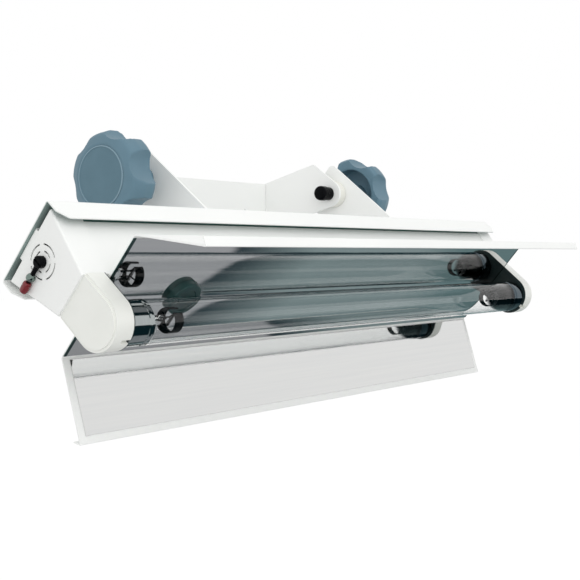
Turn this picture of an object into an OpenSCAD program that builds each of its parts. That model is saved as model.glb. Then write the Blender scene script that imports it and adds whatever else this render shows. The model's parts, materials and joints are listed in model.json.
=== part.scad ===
// Wall-hung germicidal luminaire with one tube, a winged reflector and a tilting clamp yoke.
// The origin is the middle of the yoke's back face, on the wall. +X runs along the tube, -Y leaves
// the wall and +Z is up. Pieces of the lamp are drawn with the tube on the X axis and +Y to the rear.

/* [Tube] */
// Outer diameter of the glass
tube_d = 26; // [24:0.5:28]
// Distance between the faces of the two metal caps
tube_len = 482.6; // [440:0.2:620]
// Wall of the glass
glass_wall = 1; // [0.8:0.1:1.4]
// Length of a metal cap
cap_len = 17; // [15:0.5:22]
// Wall of a metal cap
cap_wall = 0.8; // [0.5:0.1:1.2]
// Length of the glass neck inside a cap
neck_len = 8; // [6:0.5:10]
// Diameter of a contact pin
pin_d = 2.35; // [2.2:0.05:2.5]
// Distance between the two pins of a cap
pin_pitch = 12.7; // [12:0.1:13.4]
// Length of a pin outside the cap
pin_len = 7; // [6:0.1:7.6]
// Diameter of the glass stem that carries the cathode
stem_d = 7; // [5:0.5:9]
// Distance from the cap face to the end of the stem
stem_reach = 33; // [28:1:36]
// Distance from the cap face to the middle of the cathode guard ring
cathode_reach = 42; // [40:1:50]
// Diameter of the cathode guard ring
guard_d = 15; // [12:0.5:18]
// Width of the cathode guard ring
guard_w = 7; // [5:0.5:9]
// Diameter of the cathode leads
lead_d = 1.2; // [0.8:0.1:1.6]

/* [Lampholders] */
// Width of a lampholder
holder_w = 32.2; // [30:0.1:36]
// Thickness of a lampholder along the tube
holder_t = 14.2; // [13.4:0.1:18]
// Distance from the tube axis back to the centre of the round nose
nose_back = 2; // [0:0.5:4]
// Height of the raised panel on the outer face
panel_rise = 0.8; // [0.4:0.1:1.2]
// Width of the step round the raised panel
panel_step = 1.6; // [1:0.1:3]
// Diameter of the turning socket rotor
rotor_d = 24; // [20:0.5:25]
// Thickness of the rotor
rotor_t = 9; // [8.4:0.1:10]
// Gap between a cap face and its lampholder
holder_gap = 0.3; // [0.2:0.1:0.8]
// Thickness of a contact blade
contact_t = 1.5; // [1:0.1:2]
// Length and width of a contact blade
contact_size = 5; // [4:0.5:6]

/* [Reflector] */
// Distance from the tube axis back to the mirror face
mirror_back = 20; // [18:0.5:26]
// Width of the flat reflector web
web_w = 89; // [76:1:110]
// Gap between an end of the reflector and its lampholder
reflector_gap = 1.6; // [0.5:0.1:20]
// Width of a reflector wing
wing_w = 50.5; // [36:0.5:60]
// Angle that a wing opens from straight forward
wing_open = 33; // [20:1:50]
// Width of the folded lip on a wing
lip_w = 6.1; // [4:0.1:8]
// Angle that the lip is folded back through
lip_fold = 118; // [95:1:140]
// Thickness of the reflector shell
shell_t = 0.8; // [0.6:0.1:1.2]
// Thickness of the mirror sheets
mirror_t = 0.5; // [0.4:0.1:0.8]
// White border left round a wing mirror
mirror_margin = 5; // [3:0.5:8]
// Gap of the mirror sheets from the folds of the shell
mirror_corner = 1.5; // [1:0.1:4]
// Thickness of the spacers between the shell and the chassis
pad_t = 2.5; // [1.5:0.1:5]
// Diameter of those spacers
pad_d = 12; // [9:0.5:14]
// Distance of the outer reflector studs from the end plates
reflector_stud_far = 106.7; // [104.7:0.1:136.7]
// Distance of the inner reflector studs from the middle
reflector_stud_near = 64; // [40:1:90]
// Diameter of the studs on the back of the reflector
reflector_stud_d = 4; // [3:0.5:5]
// Thickness of the nuts on those studs
reflector_nut_t = 3; // [2:0.1:4]

/* [Body] */
// Width of the body behind the reflector
body_front_w = 30.2; // [28:0.1:36]
// Width of the body at the rear
body_rear_w = 52.4; // [48:0.1:54]
// Depth of the body
body_depth = 41.3; // [38:0.1:50]
// Reach of the body beyond a lampholder
body_over = 1.9; // [1:0.1:12]
// Thickness of the chassis sheet
chassis_t = 0.9; // [0.7:0.1:1.2]
// Thickness of the end plates
plate_t = 1; // [0.8:0.1:1.5]
// Length of the end plate flanges along the body
flange_len = 19; // [14:0.5:24]
// Width of the tab that meets the cover
tab_w = 20.8; // [16:0.2:26]
// Outer diameter of the knock-out
knockout_d = 20.4; // [19:0.1:21]
// Diameter of the inner knock-out
knockout_in_d = 12.8; // [12:0.1:14]
// Width of the cut round a knock-out
knockout_cut = 0.9; // [0.5:0.1:1.2]
// Width of the bridges that hold a knock-out
knockout_bridge = 3; // [2:0.1:4]
// Distance of the knock-out behind the front of the body
knockout_back = 27.9; // [24:0.1:29]

/* [Cover] */
// Width of the cover
cover_w = 59; // [56:0.5:66]
// Depth of the cover's side flanges
cover_flange = 15.5; // [12:0.5:22]
// Reach of the cover beyond an end plate
cover_over = 1.5; // [0.5:0.1:3]
// Gap between the rear of the body and the cover
cover_gap = 3.1; // [2:0.1:5]
// Thickness of the cover sheet
cover_t = 1; // [0.8:0.1:1.5]
// Corner cut at the ends of the cover flanges
cover_chamfer = 6; // [3:0.5:9]
// Diameter of the cover screws
screw_d = 4; // [3:0.5:5]

/* [Ears] */
// Thickness of an ear
ear_t = 2; // [1.5:0.1:3]
// Distance from the cover to the pivot
ear_reach = 63.4; // [58:0.2:90]
// Height of the pivot over the middle plane of the lamp
pivot_offset = 3; // [0:0.5:5]
// Width of an ear at the cover
ear_root_w = 45; // [40:0.5:52]
// Width of an ear at its far end
ear_tip_w = 40.4; // [34:0.2:44]
// Distance from the pivot to the far end of an ear
ear_end = 19.4; // [16:0.2:24]
// Radius of the corners at that end
ear_corner_r = 4; // [2:0.5:8]
// Length of the foot riveted to the cover
ear_foot = 20; // [16:0.5:24]
// Diameter of the rivets
rivet_d = 4; // [3:0.1:4.8]
// Height of the rivet heads
rivet_head_t = 1.2; // [0.8:0.1:1.6]
// Distance between the two rivets of an ear
ear_rivet_pitch = 28; // [20:0.5:32]

/* [Yoke] */
// Width over the two arms
yoke_w = 212; // [180:1:250]
// Thickness of the yoke sheet
yoke_t = 2; // [1.5:0.1:3]
// Height of the back plate
yoke_plate_h = 41.4; // [36:0.2:48]
// Distance of the bend in an arm's upper edge from the wall
arm_bend_out = 52.8; // [40:0.2:58]
// Height of that bend over the middle of the back plate
arm_bend_up = 35.6; // [30:0.2:40]
// Radius of an arm round the pivot
arm_tip_r = 11; // [9:0.5:14]
// Distance from the wall to the pivot
pivot_out = 68.5; // [62:0.5:90]
// Height of the pivot over the middle of the back plate
pivot_up = 10.4; // [8:0.1:14]
// Angle that the lamp is tilted down by as shown
rest_tilt = 40; // [0:1:80]
// Diameter of the wall screw holes
wall_hole_d = 5.5; // [4:0.1:6.5]
// Distance between the wall screw holes along the plate
wall_hole_x = 150; // [100:1:156]
// Distance between the wall screw holes up the plate
wall_hole_z = 10; // [9:0.5:14]
// Drop of their middle below the middle of the plate
wall_hole_drop = 9.5; // [0:0.5:10]

/* [Clamp] */
// Diameter of the stud
stud_d = 6; // [5:0.5:8]
// Diameter over the lobes of the knob
knob_d = 62.4; // [54:0.2:66]
// Thickness of the lobed rim
knob_t = 21; // [17:0.5:26]
// Gap between the rim and the ear
knob_gap = 19.8; // [8:0.2:26]
// Wall of the rim
rim_wall = 9.6; // [8:0.1:12]
// Thickness of the front of the knob
knob_face_t = 7; // [5:0.5:9]
// Drop of the face's outer corner to the front of the lobes
crown_drop = 2.2; // [1.5:0.1:5]
// Inset of the front of the lobes from their widest place
crown_in = 2.4; // [1.5:0.1:5]
// Diameter of the hub
hub_d = 18; // [14:0.5:22]
// Number of lobes
lobes = 6; // [5:1:8]
// Radius of the scoops between the lobes
scoop_r = 16; // [11:0.5:18]
// Depth of the scoops
scoop_depth = 6.2; // [3:0.1:7]
// Distance from the back of the rim to where that depth is measured
scoop_mid = 9.5; // [6:0.5:14]
// Angle that the scoops deepen by towards the back
scoop_lean = 3; // [0:1:10]
// Angle of the first scoop from straight up
scoop_turn = 18; // [0:1:60]
// Diameter of the cap in the knob's face
face_cap_d = 40.8; // [30:0.2:42]
// Thickness of that cap
face_cap_t = 2; // [1.5:0.1:3]
// Height that the cap stands proud by
face_cap_rise = 0.5; // [0.3:0.1:1]
// Diameter of the pivot nut
nut_d = 12; // [11:0.5:16]
// Length of the pivot nut
nut_len = 14; // [10:0.5:18]
// Wall at the closed end of the nut
nut_end = 2; // [1.5:0.1:3]
// Diameter of the pivot spacer
spacer_d = 22; // [16:0.5:26]
// Thickness of the pivot spacer
spacer_t = 7.4; // [2:0.1:20]

/* [Control gear] */
// Length of the ballast
ballast_len = 150; // [110:1:160]
// Width of the ballast
ballast_w = 30; // [24:0.5:31]
// Height of the ballast
ballast_h = 26; // [20:0.5:27]
// Diameter of the starter
starter_d = 23.6; // [21:0.1:24]
// Length of the starter
starter_len = 35; // [30:0.5:40]
// Height that the starter stands out of the reflector by
starter_proud = 4.5; // [1:0.5:5]
// Gap round the starter in the reflector
starter_gap = 0.5; // [0.3:0.1:1.5]
// Distance of the starter's middle from the left end plate
starter_inset = 84.2; // [60:0.1:86]
// Diameter of a starter pin
starter_pin_d = 4.6; // [4:0.1:5]
// Distance between the two starter pins
starter_pin_pitch = 12.7; // [12:0.1:13]
// Length of a starter pin
starter_pin_len = 5; // [4:0.1:7]
// Side of the starter base
starter_base_w = 26; // [24:0.5:28]
// Length of the terminal block
terminal_len = 40; // [24:1:50]
// Distance of the terminal block from the right end plate
terminal_inset = 66.7; // [20:0.1:80]
// Width of the terminal block
terminal_w = 18; // [12:0.5:24]
// Height of the terminal block
terminal_h = 19.5; // [14:0.5:26]
// Diameter of an inner wire
wire_d = 2.4; // [1.6:0.1:3]
// Distance of the inner wires behind the front of the body
wire_back = 8; // [6:0.5:12]
// Gap between an inner wire and the side of the body
wire_gap = 0.4; // [0.2:0.1:0.8]

/* [Switch] */
// Diameter of the lever hub
lever_hub_d = 7; // [6.6:0.1:10]
// Thickness of the lever hub
lever_hub_t = 4; // [3.5:0.1:6]
// Diameter of the lever spindle
spindle_d = 4; // [3:0.1:5]
// Length of the spindle inside the switch
spindle_len = 8; // [6:0.5:10]
// Diameter of the lever rod
rod_d = 2.6; // [2:0.1:3]
// Reach of the lever rod from the spindle
rod_reach = 17; // [16:0.1:18]
// Diameter of the bright collar
collar_d = 6; // [5:0.1:6.4]
// Distance of the collar from the spindle
collar_reach = 11.4; // [10.8:0.1:11.6]
// Diameter of the red tip
tip_d = 5; // [4:0.1:6]
// Distance of the near end of the tip from the spindle
tip_reach = 14.6; // [14.6:0.1:15]
// Far end of the tip from the spindle
tip_end = 19.4; // [18.8:0.1:21]
// Side of the switch housing
switch_w = 16; // [12:0.5:18]
// Depth of the switch housing
switch_depth = 13; // [11:0.5:16]

/* [Fits] */
// Radial clearance of turning and push fits
run_clear = 0.05; // [0.02:0.01:0.1]
// Clearance between faces that slide past each other
side_clear = 0.2; // [0.1:0.05:0.4]

/* [Hidden] */

$fn = 64;
past = 1;

shell_face = mirror_back + mirror_t;
body_front = shell_face + shell_t + pad_t;
body_rear = body_front + body_depth;
side_slope = (body_rear_w - body_front_w) / 2 / body_depth;
side_stretch = sqrt(1 + side_slope * side_slope);
flange_shift = plate_t * side_stretch;
chassis_inset = flange_shift + chassis_t * side_stretch;
cover_in = body_rear + cover_gap;
cover_out = cover_in + cover_t;
pivot_back = cover_out + ear_reach;
cap_face = tube_len / 2;
cap_shoulder = cap_face - cap_len;
neck_end = cap_shoulder + neck_len;
holder_face = cap_face + holder_gap;
rotor_seat = cap_face + rotor_t + side_clear;
reflector_half = holder_face - reflector_gap;
body_half = holder_face + holder_t + body_over;
chassis_half = body_half - plate_t;
neck_d = tube_d - 2 * cap_wall - 2 * run_clear;
neck_bore = neck_d - 2 * glass_wall;
knockout_y = body_front + knockout_back;
stud_bore = stud_d + 2 * run_clear;
yoke_half = yoke_w / 2;
ear_face = yoke_half + spacer_t + side_clear;
ear_x = ear_face + ear_t;
rim_x = ear_x + knob_gap;
face_x = rim_x + knob_t;
stud_end = face_x - 2 * face_cap_t;
arm_face = yoke_half - yoke_t;
nut_reach = arm_face - nut_len + nut_end;
ear_rivet_x = ear_face - ear_foot / 2;
foot_y = cover_out + ear_t;
cover_front = cover_out - cover_flange;
cover_screw_x = chassis_half - flange_len / 2;
outer_stud_x = chassis_half - reflector_stud_far;
reflector_studs_x = [outer_stud_x, reflector_stud_near, -reflector_stud_near, -outer_stud_x];
lever_mid = side_clear + lever_hub_t / 2;
starter_x = -chassis_half + starter_inset;
starter_front = mirror_back - starter_proud;
starter_rear = starter_front + starter_len;
terminal_x = chassis_half - terminal_inset - terminal_len;

// Direction along a wing from the web, and the direction square to it on its outer side.
wing_dir = [-cos(wing_open), sin(wing_open)];
wing_out = [sin(wing_open), cos(wing_open)];
lip_dir = [-cos(wing_open + lip_fold), sin(wing_open + lip_fold)];
lip_in_dir = [lip_dir[1], -lip_dir[0]];
wing_root = [shell_face, web_w / 2];
wing_tip = wing_root + wing_w * wing_dir;
lip_end = wing_tip + lip_w * lip_dir;
fold_dir = (lip_dir - wing_dir) / norm(lip_dir - wing_dir);

// Half of the shell's side view: up the inner face of a wing, round its lip and back to the web.
wing_points = [
    wing_root,
    wing_tip,
    lip_end,
    lip_end + shell_t * lip_in_dir,
    wing_tip + shell_t / cos(lip_fold / 2) * fold_dir,
    wing_root + shell_t * [1, tan(45 - wing_open / 2)]
];

// Places a lamp piece at the pivot, tilted as shown.
module in_lamp() {
    translate([0, -pivot_out, pivot_up])
        rotate([rest_tilt, 0, 0])
            translate([0, -pivot_back, -pivot_offset])
                children();
}

// Extrudes a side view, drawn in Y and Z, along X from one place to another.
module along_x(from, to) {
    translate([from, 0, 0])
        rotate([90, 0, 90])
            linear_extrude(height = to - from)
                children();
}

// Round bar along X from one place to another.
module bar_x(d, from, to) {
    translate([from, 0, 0])
        rotate([0, 90, 0])
            cylinder(d = d, h = to - from);
}

// Round bar along Y from one place to another.
module bar_y(d, from, to) {
    translate([0, from, 0])
        rotate([-90, 0, 0])
            cylinder(d = d, h = to - from);
}

// Makes a right-hand piece at side 1 and its mirror image at side -1.
module at_side(side) {
    if (side < 0) mirror([1, 0, 0]) children();
    else children();
}

// Point where a line from a place outside a circle touches it, on the side that is given.
function touch_point(from, centre, r, side) = let (
    away = from - centre,
    turn = atan2(away[1], away[0]) + side * acos(r / norm(away))
) centre + r * [cos(turn), sin(turn)];

module arm_outline() {
    pivot = [-pivot_out, pivot_up];
    top = [0, yoke_plate_h / 2];
    bottom = [0, -yoke_plate_h / 2];
    bend = [-arm_bend_out, arm_bend_up];
    polygon([
        top,
        bend,
        touch_point(bend, pivot, arm_tip_r, 1),
        touch_point(bottom, pivot, arm_tip_r, -1),
        bottom
    ]);
    translate(pivot) circle(r = arm_tip_r);
}

module wall_yoke() {
    color("white")
    difference() {
        union() {
            translate([-yoke_half, -yoke_t, -yoke_plate_h / 2])
                cube([yoke_w, yoke_t, yoke_plate_h]);
            for (side = [-1, 1]) {
                at_side(side) along_x(arm_face, yoke_half) arm_outline();
            }
        }
        translate([0, -pivot_out, pivot_up])
            bar_x(stud_bore, -yoke_half - past, yoke_half + past);
        for (x = [-1, 1], z = [-1, 1]) {
            translate([x * wall_hole_x / 2, 0, z * wall_hole_z / 2 - wall_hole_drop])
                bar_y(wall_hole_d, -yoke_t - past, past);
        }
    }
}

// Places a piece on the pivot axis.
module on_pivot(side) {
    translate([0, -pivot_out, pivot_up]) at_side(side) children();
}

module pivot_nut(side) {
    color("black")
    on_pivot(side) difference() {
        bar_x(nut_d, arm_face - nut_len, arm_face);
        bar_x(stud_bore, nut_reach, arm_face + past);
    }
}

module pivot_spacer(side) {
    color("whitesmoke")
    on_pivot(side) difference() {
        bar_x(spacer_d, yoke_half, yoke_half + spacer_t);
        bar_x(stud_bore, yoke_half - past, ear_x);
    }
}

// Half section of the knob, drawn as radius and distance from the rim's back.
module knob_section() {
    rim_r = knob_d / 2;
    cap_r = face_cap_d / 2 + run_clear;
    hub_back = -knob_gap + side_clear;
    well_top = knob_t - knob_face_t;
    cap_floor = knob_t - face_cap_t + face_cap_rise;
    edge = knob_face_t / 2;
    polygon([
        [0, hub_back],
        [hub_d / 2, hub_back],
        [hub_d / 2, well_top],
        [rim_r - rim_wall, well_top],
        [rim_r - rim_wall, 0],
        [rim_r - edge / 2, 0],
        [rim_r, edge],
        [rim_r, well_top - edge],
        [rim_r - crown_in, knob_t - crown_drop],
        [cap_r + edge / 2, knob_t],
        [cap_r, knob_t],
        [cap_r, cap_floor],
        [0, cap_floor]
    ]);
}

module knob(side) {
    scoop_out = knob_d / 2 - scoop_depth + scoop_r;
    color("steelblue")
    on_pivot(side) difference() {
        translate([rim_x, 0, 0])
            rotate([0, 90, 0])
                rotate_extrude() knob_section();
        for (i = [0 : lobes - 1]) {
            rotate([360 / lobes * i + scoop_turn, 0, 0])
                translate([rim_x + scoop_mid, 0, scoop_out])
                    rotate([0, 90 - scoop_lean, 0])
                        cylinder(r = scoop_r, h = 4 * knob_t, center = true);
        }
        bar_x(stud_bore, ear_x, stud_end);
    }
}

module face_cap(side) {
    color("lightsteelblue")
    on_pivot(side)
        bar_x(face_cap_d, face_x - face_cap_t + face_cap_rise, face_x + face_cap_rise);
}

module stud(side) {
    color("silver")
    on_pivot(side)
        bar_x(stud_d, nut_reach + side_clear, stud_end);
}

module cover_profile() {
    difference() {
        translate([cover_front, -cover_w / 2]) square([cover_flange, cover_w]);
        translate([cover_front - past, -cover_w / 2 + cover_t])
            square([cover_flange - cover_t + past, cover_w - 2 * cover_t]);
    }
}

module back_cover() {
    half = body_half + cover_over;
    corner = cover_chamfer * sqrt(2);
    color("white")
    in_lamp() difference() {
        along_x(-half, half) cover_profile();
        for (side = [-1, 1]) {
            translate([side * half, cover_front, 0])
                rotate([0, 0, 45])
                    cube([corner, corner, 2 * cover_w], center = true);
            for (z = [-1, 1]) {
                translate([side * ear_rivet_x, 0, z * ear_rivet_pitch / 2])
                    bar_y(rivet_d + 2 * run_clear, cover_in - past, cover_out + past);
            }
            translate([side * cover_screw_x, 0, 0])
                bar_y(screw_d + 2 * run_clear, cover_in - past, cover_out + past);
        }
    }
}

module ear_outline() {
    top = [cover_out, ear_root_w / 2];
    bottom = [cover_out, -ear_root_w / 2];
    upper = [pivot_back + ear_end - ear_corner_r, ear_tip_w / 2 - ear_corner_r];
    lower = [upper[0], -upper[1]];
    polygon([
        bottom,
        top,
        touch_point(top, upper, ear_corner_r, -1),
        upper + [ear_corner_r, 0],
        lower + [ear_corner_r, 0],
        touch_point(bottom, lower, ear_corner_r, 1)
    ]);
    translate(upper) circle(r = ear_corner_r);
    translate(lower) circle(r = ear_corner_r);
}

module ear(side) {
    color("white")
    in_lamp() at_side(side) difference() {
        union() {
            along_x(ear_face, ear_x) ear_outline();
            translate([ear_face - ear_foot, cover_out, -ear_root_w / 2])
                cube([ear_foot + ear_t, ear_t, ear_root_w]);
        }
        translate([0, pivot_back, pivot_offset])
            bar_x(stud_bore, ear_face - past, ear_x + past);
        for (z = [-1, 1]) {
            translate([ear_rivet_x, 0, z * ear_rivet_pitch / 2])
                bar_y(rivet_d + 2 * run_clear, cover_out - past, foot_y + past);
        }
    }
}

module ear_rivets() {
    color("silver")
    in_lamp() for (x = [-1, 1], z = [-1, 1]) {
        translate([x * ear_rivet_x, 0, z * ear_rivet_pitch / 2]) {
            bar_y(rivet_d, cover_in - rivet_head_t, foot_y + rivet_head_t);
            bar_y(2 * rivet_d, cover_in - rivet_head_t, cover_in);
            bar_y(2 * rivet_d, foot_y, foot_y + rivet_head_t);
        }
    }
}

module cover_screws() {
    color("silver")
    in_lamp() for (x = [-1, 1]) {
        translate([x * cover_screw_x, 0, 0]) {
            bar_y(screw_d, cover_in - plate_t - screw_d, cover_out);
            bar_y(2 * screw_d, cover_out, cover_out + screw_d / 2);
        }
    }
}

// Half width of the body at a depth, drawn in by an inset.
function half_width(y, inset) = body_front_w / 2 + (y - body_front) * side_slope - inset;

// Side view of the body from a depth to its rear, drawn in by an inset on its sloping sides.
module body_outline(inset, from = body_front) {
    front = half_width(from, inset);
    rear = half_width(body_rear, inset);
    polygon([[from, -front], [from, front], [body_rear, rear], [body_rear, -rear]]);
}

module chassis() {
    lip_half = chassis_half - flange_len - past;
    lip_from = half_width(body_rear, chassis_inset);
    lip_to = cover_w / 2 - cover_t;
    color("white")
    in_lamp() difference() {
        union() {
            along_x(-chassis_half, chassis_half) difference() {
                body_outline(flange_shift);
                body_outline(chassis_inset, body_front + chassis_t);
            }
            for (flip = [0, 1]) {
                along_x(-lip_half, lip_half)
                    mirror([0, flip])
                        translate([body_rear - chassis_t, lip_from])
                            square([chassis_t, lip_to - lip_from]);
            }
        }
        reflector_holes(body_front, body_front + chassis_t);
        starter_hole(body_front, body_front + chassis_t);
    }
}

// Ring cut of a knock-out, broken by four bridges.
module knockout_ring(d) {
    difference() {
        circle(d = d);
        circle(d = d - 2 * knockout_cut);
        for (turn = [45, 135]) {
            rotate(turn) square([2 * d, knockout_bridge], center = true);
        }
    }
}

// Right-hand end plate. The spindle hole is only cut where the switch is.
module end_plate(side, has_switch) {
    color("white")
    in_lamp() at_side(side) difference() {
        union() {
            along_x(chassis_half, body_half) {
                body_outline(0);
                translate([body_rear - past, -tab_w / 2]) square([cover_gap + past, tab_w]);
            }
            along_x(chassis_half - flange_len, chassis_half) difference() {
                body_outline(0);
                body_outline(flange_shift);
            }
            translate([chassis_half - flange_len, cover_in - plate_t, -tab_w / 2])
                cube([flange_len, plate_t, tab_w]);
        }
        along_x(chassis_half - past, body_half + past) translate([knockout_y, 0]) {
            knockout_ring(knockout_d);
            knockout_ring(knockout_in_d);
            if (has_switch) circle(d = spindle_d + 2 * run_clear);
        }
        translate([cover_screw_x, 0, 0])
            bar_y(screw_d + 2 * run_clear, cover_in - plate_t - past, cover_in + past);
    }
}

module shell_profile() {
    last = len(wing_points) - 1;
    polygon(concat(
        wing_points,
        [for (i = [last : -1 : 0]) [wing_points[i][0], -wing_points[i][1]]]
    ));
}

module reflector_shell() {
    color("white")
    in_lamp() difference() {
        along_x(-reflector_half, reflector_half) shell_profile();
        starter_hole(shell_face, shell_face + shell_t);
    }
}

module main_mirror() {
    width = web_w - 2 * mirror_corner;
    color("gainsboro")
    in_lamp() difference() {
        translate([-reflector_half, mirror_back, -width / 2])
            cube([2 * reflector_half, mirror_t, width]);
        starter_hole(mirror_back, shell_face);
    }
}

// Mirror sheet of the upper wing. The lower one is its mirror image.
module wing_mirror(flip) {
    half = reflector_half - mirror_margin;
    start = wing_root + mirror_corner * wing_dir;
    finish = wing_tip - mirror_margin * wing_dir;
    color("gainsboro")
    in_lamp() along_x(-half, half) mirror([0, flip])
        polygon([start, finish, finish - mirror_t * wing_out, start - mirror_t * wing_out]);
}

// Holes for the reflector studs through a sheet or pad.
module reflector_holes(from, to) {
    for (x = reflector_studs_x) {
        translate([x, 0, 0]) bar_y(reflector_stud_d + 2 * run_clear, from - past, to + past);
    }
}

module reflector_pads() {
    color("gray")
    in_lamp() difference() {
        for (x = reflector_studs_x) {
            translate([x, 0, 0]) bar_y(pad_d, body_front - pad_t, body_front);
        }
        reflector_holes(body_front - pad_t, body_front);
    }
}

// Studs that stand on the back of the shell, each with its nut inside the chassis.
module reflector_studs() {
    nut_seat = body_front + chassis_t;
    nut_top = nut_seat + reflector_nut_t;
    color("silver")
    in_lamp() for (x = reflector_studs_x) {
        translate([x, 0, 0]) {
            bar_y(reflector_stud_d, body_front - pad_t, nut_top + past);
            bar_y(2 * reflector_stud_d, nut_seat, nut_top);
        }
    }
}

// Hole for the starter through a sheet.
module starter_hole(from, to) {
    translate([starter_x, 0, 0]) bar_y(starter_d + 2 * starter_gap, from - past, to + past);
}

// Side view of a lampholder, drawn in by an inset.
module holder_outline(inset) {
    r = holder_w / 2 - inset;
    translate([nose_back, 0]) circle(r = r);
    translate([nose_back, -r]) square([body_front - nose_back, 2 * r]);
}

module holder(side) {
    color("ivory")
    in_lamp() at_side(side) difference() {
        union() {
            along_x(holder_face, holder_face + holder_t - panel_rise) holder_outline(0);
            along_x(holder_face, holder_face + holder_t) holder_outline(panel_step);
        }
        bar_x(rotor_d + 2 * run_clear, holder_face - past, rotor_seat);
        translate([holder_face - past, -holder_w, -pin_d / 2 - side_clear])
            cube([pin_len + past, holder_w, pin_d + 2 * side_clear]);
        for (z = [-1, 1]) {
            translate([rotor_seat - past, -contact_size / 2, z * pin_pitch / 2 - contact_size / 2])
                cube([contact_t + past, contact_size, contact_size]);
        }
    }
}

module contacts(side) {
    color("gold")
    in_lamp() at_side(side) for (z = [-1, 1]) {
        translate([rotor_seat, -contact_size / 2, z * pin_pitch / 2 - contact_size / 2])
            cube([contact_t, contact_size, contact_size]);
    }
}

module ballast() {
    color("gray")
    in_lamp() translate([-ballast_len / 2, cover_in - ballast_h, -ballast_w / 2])
        cube([ballast_len, ballast_h, ballast_w]);
}

// Block on the cover with a round recess, which the starter's pins turn in.
module starter_base() {
    seat = starter_rear + side_clear;
    recess_d = starter_pin_pitch + starter_pin_d + 2 * side_clear;
    color("whitesmoke")
    in_lamp() translate([starter_x, 0, 0]) difference() {
        translate([-starter_base_w / 2, seat, -starter_base_w / 2])
            cube([starter_base_w, cover_in - seat, starter_base_w]);
        bar_y(recess_d, seat - past, starter_rear + starter_pin_len + side_clear);
    }
}

module starter() {
    color("cadetblue")
    in_lamp() translate([starter_x, 0, 0]) {
        bar_y(starter_d, starter_front, starter_rear);
        for (z = [-1, 1]) {
            translate([0, 0, z * starter_pin_pitch / 2])
                bar_y(starter_pin_d, starter_rear - past, starter_rear + starter_pin_len);
        }
    }
}

module terminal_block() {
    color("whitesmoke")
    in_lamp() translate([terminal_x, cover_in - terminal_h, -terminal_w / 2])
        cube([terminal_len, terminal_h, terminal_w]);
}

module wiring() {
    wire_y = body_front + wire_back;
    beside = half_width(wire_y, chassis_inset) - (wire_d / 2 + wire_gap) * side_stretch;
    color("dimgray")
    in_lamp() for (z = [-1, 1]) {
        translate([0, wire_y, z * beside]) bar_x(wire_d, -reflector_half, reflector_half);
    }
}

// Places a switch piece at the left end plate, with +X leaving the lamp.
module at_switch() {
    in_lamp() at_side(-1) translate([body_half, knockout_y, 0]) children();
}

module switch_body() {
    color("black")
    at_switch() difference() {
        translate([-plate_t - switch_depth, -switch_w / 2, -switch_w / 2])
            cube([switch_depth, switch_w, switch_w]);
        bar_x(spindle_d + 2 * run_clear, -plate_t - spindle_len - side_clear, past);
    }
}

// Round bar down the lever from one reach to another, at the middle of the hub's thickness.
module lever_bar(d, from, to) {
    translate([lever_mid, 0, -to]) cylinder(d = d, h = to - from);
}

// Block over the end plate, which the pieces of the lever keep out of.
module plate_space() {
    translate([side_clear - body_depth, -body_depth, -body_depth])
        cube([body_depth, 2 * body_depth, 2 * body_depth]);
}

module switch_lever() {
    color("black")
    at_switch() {
        bar_x(spindle_d, -plate_t - spindle_len, side_clear + past);
        bar_x(lever_hub_d, side_clear, side_clear + lever_hub_t);
        lever_bar(rod_d, 0, rod_reach);
    }
}

module lever_collar() {
    color("silver")
    at_switch() difference() {
        translate([lever_mid, 0, -collar_reach]) sphere(d = collar_d);
        lever_bar(rod_d + 2 * run_clear, 0, rod_reach);
        plate_space();
    }
}

module lever_tip() {
    color("firebrick")
    at_switch() difference() {
        union() {
            lever_bar(tip_d, tip_reach, tip_end);
            translate([lever_mid, 0, -tip_end]) sphere(d = tip_d);
        }
        lever_bar(rod_d + 2 * run_clear, 0, rod_reach + run_clear);
        plate_space();
    }
}

module tube_glass() {
    inner_end = cap_shoulder - glass_wall;
    color("aliceblue")
    in_lamp() difference() {
        union() {
            bar_x(tube_d, -cap_shoulder, cap_shoulder);
            bar_x(neck_d, -neck_end, neck_end);
        }
        bar_x(tube_d - 2 * glass_wall, -inner_end, inner_end);
        bar_x(neck_bore, -neck_end - past, neck_end + past);
    }
}

module cap(side) {
    color("silver")
    in_lamp() at_side(side) difference() {
        bar_x(tube_d, cap_shoulder, cap_face);
        bar_x(tube_d - 2 * cap_wall, cap_shoulder - past, cap_face - 2 * cap_wall);
    }
}

module pins(side) {
    color("gold")
    in_lamp() at_side(side) for (z = [-1, 1]) {
        translate([0, 0, z * pin_pitch / 2]) bar_x(pin_d, cap_face, cap_face + pin_len);
    }
}

module stem(side) {
    color("aliceblue")
    in_lamp() at_side(side) {
        bar_x(stem_d, cap_face - stem_reach, neck_end);
        bar_x(neck_bore - 2 * run_clear, neck_end - glass_wall, neck_end);
    }
}

module cathode(side) {
    stem_end = cap_face - stem_reach;
    ring_at = cap_face - cathode_reach;
    spread = stem_d / 2 - lead_d;
    color("dimgray")
    in_lamp() at_side(side) {
        for (z = [-1, 1]) {
            translate([0, 0, z * spread]) bar_x(lead_d, ring_at, stem_end);
        }
        translate([ring_at, 0, -guard_d / 2 + lead_d / 2]) cylinder(d = lead_d, h = guard_d - lead_d);
        difference() {
            bar_x(guard_d, ring_at - guard_w / 2, ring_at + guard_w / 2);
            bar_x(guard_d - lead_d, ring_at - guard_w, ring_at + guard_w);
        }
    }
}

module rotor(side) {
    color("ivory")
    in_lamp() at_side(side) difference() {
        bar_x(rotor_d, cap_face, cap_face + rotor_t);
        translate([cap_face - past, -pin_d / 2 - run_clear, -rotor_d])
            cube([pin_len + side_clear + past, pin_d + 2 * run_clear, 2 * rotor_d]);
    }
}

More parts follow.
